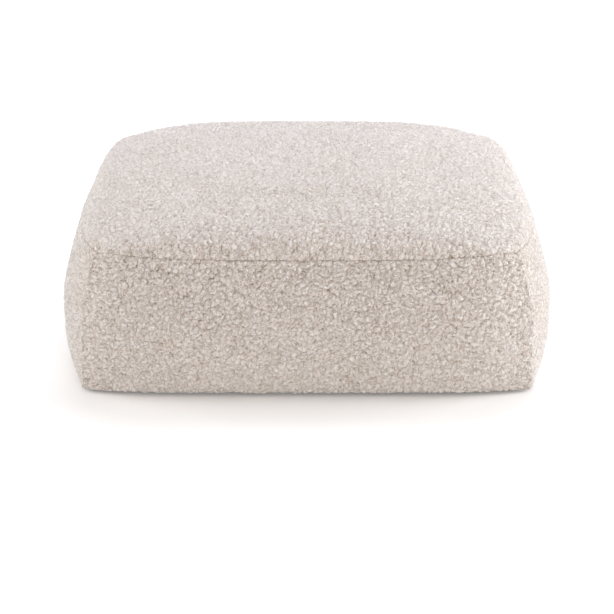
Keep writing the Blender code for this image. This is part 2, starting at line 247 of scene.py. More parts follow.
def simulate(block, full, quads, own):
    """Blow the slack cover up between its seams, and keep the uneven pull that this gives."""
    held = np.zeros(len(block))
    for name in FACES:
        grid = own[name]
        for edge in (grid[0], grid[-1], grid[:, 0], grid[:, -1]):
            held[edge] = 1.0
    held[own["base"].ravel()] = 1.0
    up = block[:, 2] / CORNER_Z
    near_zip = ease(0.08, 0.16, up) * (1.0 - ease(0.32, 0.42, up))
    held = np.maximum(held, np.where(block[:, 1] > CORNER - 1e-4, near_zip, 0.0))
    mesh, normals = cage_mesh(full, quads)
    wave_x, wave_y, wave_z = (full * CLOTH_WAVES).T
    ripple = np.sin(wave_x + 1.0) * np.sin(wave_y) + np.sin(wave_z)
    unevenness = CLOTH_SLACK * (1.0 + CLOTH_UNEVEN * ripple)
    slack = full - normals * (unevenness * (1.0 - held))[:, None]
    mesh.vertices.foreach_set("co", slack.astype(np.float32).ravel())
    cage = bpy.data.objects.new("cover_cage", mesh)
    scene = bpy.context.scene
    scene.collection.objects.link(cage)
    sewn = cage.vertex_groups.new(name="sewn")
    for number, weight in enumerate(held):
        sewn.add([number], float(weight), "REPLACE")
    cloth = cage.modifiers.new("cloth", "CLOTH")
    settings = cloth.settings
    settings.quality = 6
    settings.mass = 0.25
    settings.tension_stiffness = 15.0
    settings.compression_stiffness = 10.0
    settings.shear_stiffness = 5.0
    settings.bending_stiffness = 0.3
    settings.use_pressure = True
    settings.uniform_pressure_force = 4.0
    settings.vertex_group_mass = "sewn"
    settings.effector_weights.gravity = 0.0
    cloth.collision_settings.use_collision = False
    cloth.point_cache.frame_start = 1
    cloth.point_cache.frame_end = CLOTH_FRAMES
    for number in range(1, CLOTH_FRAMES + 1):
        scene.frame_set(number)
    evaluated = cage.evaluated_get(bpy.context.evaluated_depsgraph_get())
    swollen = np.empty(len(block) * 3)
    evaluated.data.vertices.foreach_get("co", swollen)
    swollen = capped(slack, swollen.reshape(-1, 3), CLOTH_MOST)
    bpy.data.objects.remove(cage, do_unlink=True)
    scene.frame_set(1)
    settled = capped(full, swollen, CLOTH_STRAY)
    inward = np.minimum(((settled - full) * normals).sum(axis=1) + CLOTH_INWARD, 0.0)
    return settled - normals * inward[:, None]


def capped(start, end, most):
    """end, but no further than most from start."""
    move = end - start
    length = np.linalg.norm(move, axis=1, keepdims=True)
    return start + move * np.minimum(1.0, most / np.maximum(length, 1e-9))


cover_shape = settle_cover()


# ---------------------------------------------------------------- sampling the shape


def cubic_weights(place, count):
    """Catmull-Rom: four neighbours' indices and weights for each place in 0..count."""
    cell = np.clip(np.floor(place).astype(int), 0, count - 1)
    part = place - cell
    weights = np.stack(
        [
            -0.5 * part + part**2 - 0.5 * part**3,
            1.0 - 2.5 * part**2 + 1.5 * part**3,
            0.5 * part + 2.0 * part**2 - 1.5 * part**3,
            -0.5 * part**2 + 0.5 * part**3,
        ],
        axis=-1,
    )
    return cell[..., None] + np.arange(4), weights


def sample(name, across, up):
    """Points and normals of a face of the cover at its shares, across and up both -1..1."""
    results = []
    for grid in cover_shape[name]:
        rows, columns = grid.shape[0] - 1, grid.shape[1] - 1
        padded = np.pad(grid, ((1, 1), (1, 1), (0, 0)), mode="reflect", reflect_type="odd")
        row, row_weight = cubic_weights((up + 1.0) / 2.0 * rows, rows)
        column, column_weight = cubic_weights((across + 1.0) / 2.0 * columns, columns)
        result = np.zeros(across.shape + (3,))
        for i in range(4):
            for j in range(4):
                weight = (row_weight[..., i] * column_weight[..., j])[..., None]
                result += padded[row[..., i], column[..., j]] * weight
        results.append(result)
    points, normals = results
    return points, normals / np.linalg.norm(normals, axis=-1, keepdims=True)


# ---------------------------------------------------------------- random fields


def band_noise(shape, pitch, wavelength, spread):
    """A random field with features of about one wavelength, of unit deviation."""
    spectrum = np.fft.rfft2(rng.standard_normal(shape))
    slow = np.fft.fftfreq(shape[0], pitch)[:, None]
    fast = np.fft.rfftfreq(shape[1], pitch)[None, :]
    ratio = np.hypot(slow, fast) * wavelength
    field = np.fft.irfft2(spectrum * np.exp(-(((ratio - 1.0) / spread) ** 2)), s=shape)
    return field / field.std()


TEXEL = 0.0007
CLUMP = 0.0240
NUB = 0.0130
STRAND = 0.0065
FRAY = 0.0030


def creases(shape, wavelength, spread):
    """Rounded lumps parted by thin creases, about half a wavelength apart, from 0 to 1."""
    field = np.abs(band_noise(shape, TEXEL, wavelength, spread))
    return np.sqrt(np.clip(field / 1.3, 0.0, 1.0))


def curls(width, height):
    """The pile of a width x height piece of cloth: heights in 0..1, one for each texel."""
    shape = (int(height / TEXEL) + 8, int(width / TEXEL) + 8)
    clump = creases(shape, CLUMP, 0.45)
    nub = creases(shape, NUB, 0.40)
    strand = 2.2 * band_noise(shape, TEXEL, NUB, 0.5) + 1.0 * band_noise(shape, TEXEL, STRAND, 0.4)
    curl = np.abs(np.sin(strand)) ** 0.6
    fray = band_noise(shape, TEXEL, FRAY, 0.5)
    field = 0.10 * clump + 0.45 * nub + 0.45 * curl + 0.02 * fray
    low, high = np.percentile(field, (1.0, 99.0))
    return np.clip((field - low) / (high - low), 0.0, 1.0)


def read_field(field, x, y):
    """Bilinear values of a field at metric places x and y."""
    column = np.clip(x / TEXEL, 0, field.shape[1] - 2)
    row = np.clip(y / TEXEL, 0, field.shape[0] - 2)
    c, r = column.astype(int), row.astype(int)
    fc, fr = column - c, row - r
    near = field[r, c] * (1 - fc) + field[r, c + 1] * fc
    far = field[r + 1, c] * (1 - fc) + field[r + 1, c + 1] * fc
    return near * (1 - fr) + far * fr


# ---------------------------------------------------------------- meshes


def add_object(name, mesh, material):
    mesh.materials.append(material)
    piece = bpy.data.objects.new(name, mesh)
    bpy.context.scene.collection.objects.link(piece)
    return piece


def stands_for(piece, node_name, body="cushion"):
    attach(piece, body)
    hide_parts(node_name)
    return piece


def raw_mesh(name, points, faces, smooth):
    """A mesh from arrays, and its corners' points.

    faces is a list of groups of faces, each face a row of point numbers.  The first smooth
    faces are shaded smooth.
    """
    loops = np.concatenate([np.concatenate([np.asarray(face) for face in group]) for group in faces])
    sizes = np.concatenate([[len(face) for face in group] for group in faces])
    mesh = bpy.data.meshes.new(name)
    mesh.vertices.add(len(points))
    mesh.vertices.foreach_set("co", points.astype(np.float32).ravel())
    mesh.loops.add(len(loops))
    mesh.loops.foreach_set("vertex_index", loops.astype(np.int32))
    mesh.polygons.add(len(sizes))
    starts = np.concatenate([[0], np.cumsum(sizes)[:-1]]).astype(np.int32)
    mesh.polygons.foreach_set("loop_start", starts)
    shading = np.zeros(len(sizes), dtype=bool)
    shading[:smooth] = True
    mesh.polygons.foreach_set("use_smooth", shading)
    mesh.update(calc_edges=True)
    return mesh, loops


def edge_places(count, length, fine=0.0012, rings=5):
    """Shares -1..1 across a panel: even in the middle, and close together by both ends."""
    step = fine / length
    close = step * np.arange(rings)
    middle = np.linspace(rings * step, 1.0 - rings * step, count - 2 * rings + 1)
    shares = np.concatenate([close, middle, 1.0 - close[::-1]])
    return 2.0 * shares - 1.0


def closed_sheet(name, outer, inner, pile, material):
    """A closed sheet from a fine outer grid and a coarse inner one, joined round the rim.

    The inner grid's rows and columns divide the outer one's without a remainder.
    """
    rows, columns = outer.shape[0] - 1, outer.shape[1] - 1
    few_rows, few_columns = inner.shape[0] - 1, inner.shape[1] - 1
    row_step, column_step = rows // few_rows, columns // few_columns
    fine = np.arange(outer.shape[0] * outer.shape[1]).reshape(outer.shape[:2])
    coarse = fine.size + np.arange(inner.shape[0] * inner.shape[1]).reshape(inner.shape[:2])
    points = np.concatenate([outer.reshape(-1, 3), inner.reshape(-1, 3)])
    front = grid_quads(fine)
    back = grid_quads(coarse)[:, ::-1]
    rim = []
    for k in range(few_columns):
        run = slice(k * column_step, (k + 1) * column_step + 1)
        rim.append(np.array([*fine[0, run][::-1], coarse[0, k], coarse[0, k + 1]]))
        rim.append(np.array([*fine[-1, run], coarse[-1, k + 1], coarse[-1, k]]))
    for k in range(few_rows):
        run = slice(k * row_step, (k + 1) * row_step + 1)
        rim.append(np.array([*fine[run, 0], coarse[k + 1, 0], coarse[k, 0]]))
        rim.append(np.array([*fine[run, -1][::-1], coarse[k, -1], coarse[k + 1, -1]]))
    mesh, loops = raw_mesh(name, points, [front, back, rim], len(front))
    # the pile attribute carries the painted shade of the creases and seams to the teddy material's colour
    heights = mesh.attributes.new("pile", "FLOAT", "POINT")
    values = np.zeros(len(points), dtype=np.float32)
    values[: fine.size] = pile.ravel()
    heights.data.foreach_set("value", values)

    # the outer face takes most of the unwrapped square, the inner face a patch, the rim a strip
    across, up = np.meshgrid(np.linspace(0.01, 0.88, columns + 1), np.linspace(0.01, 0.88, rows + 1))
    few_across, few_up = np.meshgrid(
        np.linspace(0.90, 0.99, few_columns + 1), np.linspace(0.01, 0.10, few_rows + 1)
    )
    flat = np.concatenate(
        [
            np.stack([across, up], axis=-1).reshape(-1, 2),
            np.stack([few_across, few_up], axis=-1).reshape(-1, 2),
        ]
    )[loops]
    rim_start = front.size + back.size
    flat[rim_start:] = flat[rim_start:] * (0.09, 0.70) + (0.90, 0.20)
    layer = mesh.uv_layers.new(name="OFBake")
    layer.data.foreach_set("uv", flat.astype(np.float32).ravel())
    return add_object(name, mesh, material)


def slab(name, outer, inner, material, wrapped=False):
    """A closed solid between two like grids.  wrapped joins its first and last columns."""
    if wrapped:
        outer, inner = outer[:, :-1], inner[:, :-1]
    rows, columns = outer.shape[:2]
    face = np.arange(rows * columns).reshape(rows, columns)
    other = face + face.size
    if wrapped:
        face = np.concatenate([face, face[:, :1]], axis=1)
        other = np.concatenate([other, other[:, :1]], axis=1)
    groups = [grid_quads(face), grid_quads(other)[:, ::-1]]
    rims = [(face[0][::-1], other[0][::-1]), (face[-1], other[-1])]
    if not wrapped:
        rims += [(face[:, 0], other[:, 0]), (face[::-1, -1], other[::-1, -1])]
    for edge, far in rims:
        groups.append(np.stack([edge[:-1], edge[1:], far[1:], far[:-1]], axis=-1))
    smooth = len(groups[0]) + len(groups[1])
    mesh, _ = raw_mesh(name, np.concatenate([outer.reshape(-1, 3), inner.reshape(-1, 3)]), groups, smooth)
    return add_object(name, mesh, material)


# ---------------------------------------------------------------- materials


def new_material(name):
    material = bpy.data.materials.new(name)
    material.use_nodes = True
    tree = material.node_tree
    return material, tree, tree.nodes["Principled BSDF"]


def ramp(tree, source, stops):
    made = tree.nodes.new("ShaderNodeValToRGB")
    elements = made.color_ramp.elements
    while len(elements) < len(stops):
        elements.new(0.5)
    for element, (position, colour) in zip(elements, stops):
        element.position = position
        element.color = (*colour, 1.0)
    tree.links.new(source, made.inputs["Fac"])
    return made.outputs["Color"]


def texture(tree, kind, scale, place, **values):
    made = tree.nodes.new(kind)
    made.inputs["Scale"].default_value = scale
    for key, value in values.items():
        if key in made.inputs:
            made.inputs[key].default_value = value
        else:
            setattr(made, key, value)
    tree.links.new(place, made.inputs["Vector"])
    return made


def object_place(tree):
    return tree.nodes.new("ShaderNodeTexCoord").outputs["Object"]


def maths(tree, operation, first, second):
    made = tree.nodes.new("ShaderNodeMath")
    made.operation = operation
    for socket, value in zip(made.inputs, (first, second)):
        if isinstance(value, (int, float)):
            socket.default_value = value
        else:
            tree.links.new(value, socket)
    return made.outputs["Value"]


def multiply(tree, first, second, amount):
    made = tree.nodes.new("ShaderNodeMix")
    made.data_type = "RGBA"
    made.blend_type = "MULTIPLY"
    made.inputs["Factor"].default_value = amount
    tree.links.new(first, made.inputs["A"])
    tree.links.new(second, made.inputs["B"])
    return made.outputs["Result"]


def bump(tree, shader, height, strength, distance):
    made = tree.nodes.new("ShaderNodeBump")
    made.inputs["Strength"].default_value = strength
    made.inputs["Distance"].default_value = distance
    tree.links.new(height, made.inputs["Height"])
    tree.links.new(made.outputs["Normal"], shader.inputs["Normal"])


def teddy_material():
    """Curly pile, creamy at the tips, with painted shade: the colour is warm and darker down in the creases,
    along the seams and in the partings between tufts.
    """
    material, tree, shader = new_material("teddy_pile")
    pile = tree.nodes.new("ShaderNodeAttribute")
    pile.attribute_name = "pile"
    place = object_place(tree)
    wool = texture(tree, "ShaderNodeTexNoise", 520.0, place, Detail=4.0)
    curl = texture(tree, "ShaderNodeTexVoronoi", 420.0, place, feature="SMOOTH_F1", Smoothness=0.5)
    # painted shade: the ramp darkens and warms the colour where the pile attribute is low, down in the
    # creases and along the seams
    deep = ramp(
        tree,
        pile.outputs["Fac"],
        [
            (0.00, (0.36, 0.28, 0.22)),
            (0.16, (0.58, 0.49, 0.42)),
            (0.38, (0.87, 0.805, 0.765)),
            (1.00, (0.96, 0.93, 0.915)),
        ],
    )
    speck = ramp(tree, wool.outputs["Fac"], [(0.30, (0.86, 0.835, 0.80)), (0.58, (1.0, 1.0, 1.0))])
    wander = texture(tree, "ShaderNodeTexNoise", 150.0, place, Detail=3.0)
    bent = tree.nodes.new("ShaderNodeVectorMath")
    bent.operation = "MULTIPLY_ADD"
    bent.inputs[1].default_value = (0.011, 0.011, 0.011)
    tree.links.new(wander.outputs["Color"], bent.inputs[0])
    tree.links.new(place, bent.inputs[2])
    tuft = texture(tree, "ShaderNodeTexVoronoi", 160.0, bent.outputs["Vector"], feature="DISTANCE_TO_EDGE")
    # painted shade: darker lines along the partings between tufts
    painted_parting_shade = ramp(tree, tuft.outputs["Distance"], [(0.0, (0.50, 0.41, 0.34)), (0.09, (1.0, 1.0, 1.0))])
    painted_crease_shade = multiply(tree, deep, painted_parting_shade, 0.75)
    tree.links.new(multiply(tree, painted_crease_shade, speck, 0.8), shader.inputs["Base Color"])
    mound = maths(tree, "MINIMUM", tuft.outputs["Distance"], 0.25)
    strands = maths(tree, "SUBTRACT", wool.outputs["Fac"], curl.outputs["Distance"])
    relief = maths(tree, "ADD", strands, maths(tree, "MULTIPLY", mound, 3.5))
    bump(tree, shader, relief, 0.75, 0.0015)
    shader.inputs["Roughness"].default_value = 0.95
    shader.inputs["Specular IOR Level"].default_value = 0.15
    shader.inputs["Sheen Weight"].default_value = 0.8
    shader.inputs["Sheen Roughness"].default_value = 0.5
    shader.inputs["Sheen Tint"].default_value = (1.0, 0.97, 0.94, 1.0)
    shader.inputs["Subsurface Weight"].default_value = 0.15
    shader.inputs["Subsurface Radius"].default_value = (1.0, 0.9, 0.8)
    shader.inputs["Subsurface Scale"].default_value = 0.004
    return material


def woven_material(name, dark, light, across, up, strength=0.6, roughness=0.85, sheen=0.1):
    """Plain weave from two crossed sets of threads, across and up threads to the metre."""
    material, tree, shader = new_material(name)
    place = object_place(tree)
    parts = tree.nodes.new("ShaderNodeSeparateXYZ")
    tree.links.new(place, parts.inputs["Vector"])
    waves = []
    for axis, count in (("X", across), ("Z", up), ("Y", across)):
        phase = maths(tree, "MULTIPLY", parts.outputs[axis], count * math.tau)
        waves.append(maths(tree, "SINE", phase, 0.0))
    weave = maths(tree, "MULTIPLY", waves[0], waves[1])
    weave = maths(tree, "ADD", weave, maths(tree, "MULTIPLY", waves[0], waves[2]))
    uneven = texture(tree, "ShaderNodeTexNoise", 90.0, place, Detail=3.0)
    height = maths(tree, "ADD", weave, uneven.outputs["Fac"])
    shade = maths(tree, "MULTIPLY_ADD", height, 0.25)
    shade.node.inputs[2].default_value = 0.4
    tree.links.new(ramp(tree, shade, [(0.1, dark), (0.9, light)]), shader.inputs["Base Color"])
    bump(tree, shader, height, strength, 0.0004)
    shader.inputs["Roughness"].default_value = roughness
    shader.inputs["Sheen Weight"].default_value = sheen
    return material


def base_material():
    """Dark woven base cloth with a grid of small moulded anti-slip dots."""
    material = woven_material("base_cloth", (0.035, 0.03, 0.027), (0.11, 0.10, 0.09), 900.0, 900.0)
    tree = material.node_tree
    shader = tree.nodes["Principled BSDF"]
    place = object_place(tree)
    dots = texture(tree, "ShaderNodeTexVoronoi", 110.0, place, Randomness=0.0, voronoi_dimensions="2D")
    round_dot = ramp(tree, dots.outputs["Distance"], [(0.20, (1.0, 1.0, 1.0)), (0.26, (0.0, 0.0, 0.0))])
    cloth = shader.inputs["Base Color"].links[0].from_socket
    made = tree.nodes.new("ShaderNodeMix")
    made.data_type = "RGBA"
    tree.links.new(round_dot, made.inputs["Factor"])
    tree.links.new(cloth, made.inputs["A"])
    made.inputs["B"].default_value = (0.16, 0.15, 0.14, 1.0)
    tree.links.new(made.outputs["Result"], shader.inputs["Base Color"])
    return material


def nonwoven_material():
    """Spunbonded cloth with its grid of pressed points."""
    material, tree, shader = new_material("liner_nonwoven")
    place = object_place(tree)
    fibres = texture(tree, "ShaderNodeTexNoise", 700.0, place, Detail=6.0, Roughness=0.7, Distortion=1.5)
    points = texture(tree, "ShaderNodeTexVoronoi", 380.0, place, Randomness=0.15)
    pressed = ramp(tree, points.outputs["Distance"], [(0.10, (0.72, 0.72, 0.71)), (0.22, (0.88, 0.88, 0.87))])
    speck = ramp(tree, fibres.outputs["Fac"], [(0.35, (0.86, 0.86, 0.85)), (0.6, (1.0, 1.0, 1.0))])
    tree.links.new(multiply(tree, pressed, speck, 0.8), shader.inputs["Base Color"])
    bump(tree, shader, maths(tree, "ADD", points.outputs["Distance"], fibres.outputs["Fac"]), 0.5, 0.0005)
    shader.inputs["Roughness"].default_value = 0.8
    return material


def fibre_material():
    """Airy polyester wadding with matted strands."""
    material, tree, shader = new_material("wadding_fibre")
    place = object_place(tree)
    strands = texture(
        tree, "ShaderNodeTexNoise", 160.0, place, Detail=8.0, Roughness=0.75, Distortion=4.0
    )
    tufts = texture(tree, "ShaderNodeTexNoise", 28.0, place, Detail=3.0)
    shade = ramp(tree, strands.outputs["Fac"], [(0.3, (0.78, 0.78, 0.77)), (0.62, (0.95, 0.95, 0.94))])
    broad = ramp(tree, tufts.outputs["Fac"], [(0.3, (0.90, 0.90, 0.89)), (0.7, (1.0, 1.0, 1.0))])
    tree.links.new(multiply(tree, shade, broad, 0.8), shader.inputs["Base Color"])
    bump(tree, shader, strands.outputs["Fac"], 0.9, 0.003)
    shader.inputs["Roughness"].default_value = 0.97
    shader.inputs["Sheen Weight"].default_value = 0.3
    shader.inputs["Subsurface Weight"].default_value = 0.2
    shader.inputs["Subsurface Scale"].default_value = 0.01
    return material


def foam_material(name, colour, cells):
    """Open-cell foam: small pores of uneven size, with saw marks from the cutting wire."""
    material, tree, shader = new_material(name)
    place = object_place(tree)
    pores = texture(tree, "ShaderNodeTexVoronoi", cells, place)
    fine = texture(tree, "ShaderNodeTexVoronoi", cells * 2.3, place)
    sawn = texture(tree, "ShaderNodeTexNoise", 14.0, place, Detail=2.0)
    dark = tuple(value * 0.55 for value in colour)
    # painted shade: the colour darkens to 0.55 of the foam's own colour towards the pores' middles
    hole = ramp(tree, pores.outputs["Distance"], [(0.10, dark), (0.32, colour)])
    tint = ramp(tree, sawn.outputs["Fac"], [(0.3, (0.90, 0.90, 0.90)), (0.7, (1.0, 1.0, 1.0))])
    tree.links.new(multiply(tree, hole, tint, 1.0), shader.inputs["Base Color"])
    relief = maths(tree, "ADD", pores.outputs["Distance"], fine.outputs["Distance"])
    bump(tree, shader, relief, 0.8, 0.0012)
    shader.inputs["Roughness"].default_value = 0.92
    return material


def coil_material():
    """Dyed nylon monofilament, slightly glossy, with a faint uneven tone and bump."""
    material, tree, shader = new_material("zip_coil_nylon")
    place = object_place(tree)
    tone = texture(tree, "ShaderNodeTexNoise", 800.0, place, Detail=2.0)
    shade = ramp(tree, tone.outputs["Fac"], [(0.3, (0.66, 0.61, 0.54)), (0.7, (0.78, 0.73, 0.66))])
    tree.links.new(shade, shader.inputs["Base Color"])
    bump(tree, shader, tone.outputs["Fac"], 0.15, 0.0002)
    shader.inputs["Roughness"].default_value = 0.35
    return material


def metal_material():
    """Tumbled nickel plate: brushed along its length, and a little worn at random."""
    material, tree, shader = new_material("zip_metal_nickel")
    place = object_place(tree)
    stretched = tree.nodes.new("ShaderNodeMapping")
    stretched.inputs["Scale"].default_value = (0.12, 1.0, 1.0)
    tree.links.new(place, stretched.inputs["Vector"])
    brushed = texture(tree, "ShaderNodeTexNoise", 2400.0, stretched.outputs["Vector"], Detail=3.0)
    worn = texture(tree, "ShaderNodeTexNoise", 240.0, place, Detail=4.0)
    shade = ramp(tree, worn.outputs["Fac"], [(0.35, (0.50, 0.49, 0.47)), (0.65, (0.68, 0.67, 0.65))])
    tree.links.new(shade, shader.inputs["Base Color"])
    rough = tree.nodes.new("ShaderNodeMapRange")
    rough.inputs["To Min"].default_value = 0.22
    rough.inputs["To Max"].default_value = 0.42
    tree.links.new(brushed.outputs["Fac"], rough.inputs["Value"])
    tree.links.new(rough.outputs["Result"], shader.inputs["Roughness"])
    bump(tree, shader, brushed.outputs["Fac"], 0.12, 0.0001)
    shader.inputs["Metallic"].default_value = 1.0
    return material


teddy = teddy_material()
base_cloth = base_material()
tape_cloth = woven_material("zip_tape_weave", (0.52, 0.47, 0.40), (0.80, 0.75, 0.68), 1300.0, 900.0)
satin = woven_material(
    "label_satin", (0.80, 0.79, 0.76), (0.93, 0.92, 0.89), 3000.0, 1200.0, 0.25, 0.38, 0.3
)
nonwoven = nonwoven_material()
fibre = fibre_material()
firm_foam = foam_material("foam_firm_cells", (0.62, 0.65, 0.70), 620.0)
soft_foam = foam_material("foam_soft_cells", (0.88, 0.81, 0.60), 520.0)
coil_nylon = coil_material()
nickel = metal_material()


# ---------------------------------------------------------------- cover


def face_size(face):
    """The length of a face's middle lines, across and up."""
    points, _ = cover_shape[face]
    middle_row = points[points.shape[0] // 2]
    middle_column = points[:, points.shape[1] // 2]
    return (
        float(np.linalg.norm(np.diff(middle_row, axis=0), axis=1).sum()),
        float(np.linalg.norm(np.diff(middle_column, axis=0), axis=1).sum()),
    )


BASE_TUCK = 0.0030  # the seam with the base cloth is drawn in, so that the pile rolls under
BASE_ROLL = 0.014
EAR = 0.020  # the corners are pinched within this
EAR_DEPTH = 0.007
ROLL = 0.0045  # how far from a slot's edge the fabric starts to turn in
ROLL_DEPTH = 0.0030
GROOVE = 0.0030  # half the width of a seam's groove
SHORT_PILE = 0.0060  # the pile is shorter this close to a seam, where it is caught in the stitches
SUNK = 0.6  # the share of the pile's height that lies within the filled shape


def pile_panel(name, face, counts, few, node_name, strip=None):
    """One panel of pile cloth.  strip is -1 or 1 for the strip below or above the zip.

    counts are the outer face's columns and rows of cells, and few the inner face's rows and
    columns.
    """
    width, height = face_size(face)
    columns, rows = counts[0] // FINE, counts[1] // FINE
    across = edge_places(columns, width)
    up = edge_places(rows, height)
    inset = 1.0 - SEAM_GAP / CORNER
    grid_across, grid_up = np.meshgrid(across * inset, up * inset)
    along = (grid_across + 1.0) / 2.0 * width
    if strip is not None:
        share = (grid_up + 1.0) / 2.0
        closing = np.clip((np.abs(grid_across) - SLOT_OPEN) / (SLOT_CLOSED - SLOT_OPEN), 0.0, 1.0)
        half = SLOT_HALF + (SEAM_GAP - SLOT_HALF) * closing
        slot = (ZIP_Z + strip * half) / CORNER_Z * 2.0 - 1.0
        grid_up = slot + (1.0 - slot) * share if strip > 0 else -1.0 + (slot + 1.0) * share
        top_edge = np.abs(grid_up - slot) / 2.0 * height
    upward = (grid_up + 1.0) / 2.0 * height
    outer, normal = sample(face, grid_across, grid_up)
    field = curls(width, height)
    pile = read_field(field, along, upward)
    seam = np.minimum(np.minimum(along, width - along), np.minimum(upward, height - upward))
    crosswise = np.minimum(upward, height - upward)
    if strip is not None:
        crosswise = np.minimum(crosswise, top_edge)
        open_slot = 1.0 - ease(SLOT_OPEN, SLOT_CLOSED, np.abs(grid_across))
        turned = np.clip(1.0 - top_edge / ROLL, 0.0, 1.0) ** 2 * ROLL_DEPTH * open_slot
        seam = np.minimum(seam, top_edge + ROLL * open_slot * 0.5)
    else:
        turned = 0.0
    upright = np.minimum(along, width - along)
    depth = np.where(crosswise < upright, SEAM_GROOVE, SEAM_GROOVE if face == "top" else 0.0)
    groove = depth * np.clip(1.0 - seam / GROOVE, 0.0, 1.0) ** 1.5
    if face != "top":
        groove = groove + BASE_TUCK * np.clip(1.0 - upward / BASE_ROLL, 0.0, 1.0) ** 2
    corner = np.hypot(np.minimum(along, width - along), height - upward)
    if face == "top":
        corner = np.hypot(np.minimum(along, width - along), np.minimum(upward, height - upward))
    ear = EAR_DEPTH * np.clip(1.0 - corner / EAR, 0.0, 1.0) ** 2
    marked = seam if face == "top" else crosswise
    stand = PILE * (0.55 + 0.45 * ease(0.0, SHORT_PILE, marked))
    lift = pile * stand - PILE * SUNK - groove - ear - turned
    outer = outer + normal * lift[..., None]
    few_rows, few_columns = few
    inner_rows = np.linspace(0, rows, few_rows + 1).round().astype(int)
    inner_columns = np.linspace(0, columns, few_columns + 1).round().astype(int)
    depth = pile * stand + FABRIC
    inner = (outer - normal * depth[..., None])[np.ix_(inner_rows, inner_columns)]
    # painted shade: the pile attribute that sets the colour is lowered near the seams, so the colour darkens
    # along the seam grooves
    shade = pile * (0.60 + 0.40 * ease(0.0, GROOVE, marked))
    piece = closed_sheet(name, outer, inner, shade, teddy)
    stands_for(piece, node_name)
    return piece


def build_cover():
    pile_panel("top_panel", "top", (300, 300), (25, 25), "cover_top_panel")
    for face in ("front", "right", "left"):
        pile_panel(f"{face}_panel", face, (432, 168), (14, 36), f"cover_{face}_panel")
    pile_panel("back_upper_strip", "back", (432, 132), (11, 36), "cover_back_upper_strip", 1)
    pile_panel("back_lower_strip", "back", (432, 56), (7, 36), "cover_back_lower_strip", -1)


BASE_STEP = 0.0025
BASE_RIM = 0.016
BASE_DRAWN = BASE_TUCK + PILE * 0.8


def build_base():
    """The flat base cloth, pulled very slightly up between the seams by the thread."""
    across = edge_places(96, 2.0 * CORNER, BASE_STEP, 8) * (1.0 - SEAM_GAP / CORNER)
    columns, rows = np.meshgrid(across, across)
    outer, normal = sample("base", columns, rows)
    flat = np.array([1.0, 1.0, 0.0])
    thick = base_high.z - base_low.z
    rim = np.maximum(np.abs(columns), np.abs(rows))
    from_rim = (1.0 - rim) * CORNER
    drawn = BASE_DRAWN * np.clip(1.0 - from_rim / BASE_RIM, 0.0, 1.0) ** 2
    outer = outer * flat - normal * drawn[..., None]
    outer[..., 2] = np.maximum(outer[..., 2], 0.0)
    inner = outer + np.array([0.0, 0.0, thick * 0.8]) - normal * flat * thick * 0.5
    piece = slab("base_panel", outer, inner, base_cloth)
    stands_for(piece, "cover_base_panel")


# ---------------------------------------------------------------- filling


LINER_DEPTH = 0.0065  # depths are below the cover's filled shape
LINER = 0.001
ZIP_ROOM = 0.005
LAYER_GAP = 0.0015
WADDING_DEPTH = 0.0105
WADDING_ZIP_ROOM = 0.007
WADDING = 0.020
BASE_WADDING = 0.010
PARTED = 0.0028  # keeps a layer's panels off its band
FLAT = (0.0, 0.0)
LUMPS = (0.0008, 0.0007)  # the wadding's coarse rolls and fine lumps


def skin(across, deep, depth, back_depth, z):
    """Points of a nested skin at shares across and deep of its own half widths, at height z."""
    half = CORNER - depth
    back = CORNER - back_depth
    return np.stack([across * half, np.where(deep > 0.0, deep * back, deep * half), z], axis=-1)


def filled(points):
    return puff(points, FILLING_FULLNESS)


def round_places(shares):
    """Shares across and deep for a walk round the four sides, front, right, back, left."""
    across, deep = [], []
    for name in ("front", "right", "back", "left"):
        face = box_face(name, shares[:-1], np.zeros_like(shares[:-1]))
        across.append(face[:, 0])
        deep.append(face[:, 1])
    across.append([-1.0])
    deep.append([-1.0])
    return np.concatenate(across), np.concatenate(deep)


def relief(shape, coarse, fine, pitch=0.006):
    """A gentle random surface: coarse rolls and fine lumps, in metres."""
    return coarse * band_noise(shape, pitch, 0.09, 0.6) + fine * band_noise(shape, pitch, 0.022, 0.5)


def skin_panel(name, node_name, slot, material, outer_at, inner_at, lumps, count=88):
    """A top or base layer between two nested skins.

    Each skin is (depth, back depth, height, whether it takes the filled shape).
    """
    shares = np.linspace(-1, 1, count + 1)
    columns, rows = np.meshgrid(shares, shares)
    faces = []
    for depth, back_depth, z, is_filled in (outer_at, inner_at):
        shrink = 1.0 - PARTED / CORNER
        points = skin(columns * shrink, rows * shrink, depth, back_depth, np.full_like(columns, z))
        faces.append(filled(points) if is_filled else points)
    rim = 1.0 - ease(0.93, 1.0, np.maximum(np.abs(columns), np.abs(rows)))
    uneven = np.minimum(relief(columns.shape, *lumps), 0.0012) * rim
    outer, inner = faces
    outer[..., 2] += uneven if outer_at[2] > inner_at[2] else 0.0
    order = (outer, inner) if outer_at[2] > inner_at[2] else (inner, outer)
    piece = slab(name, *order, material)
    return stands_for(piece, node_name)


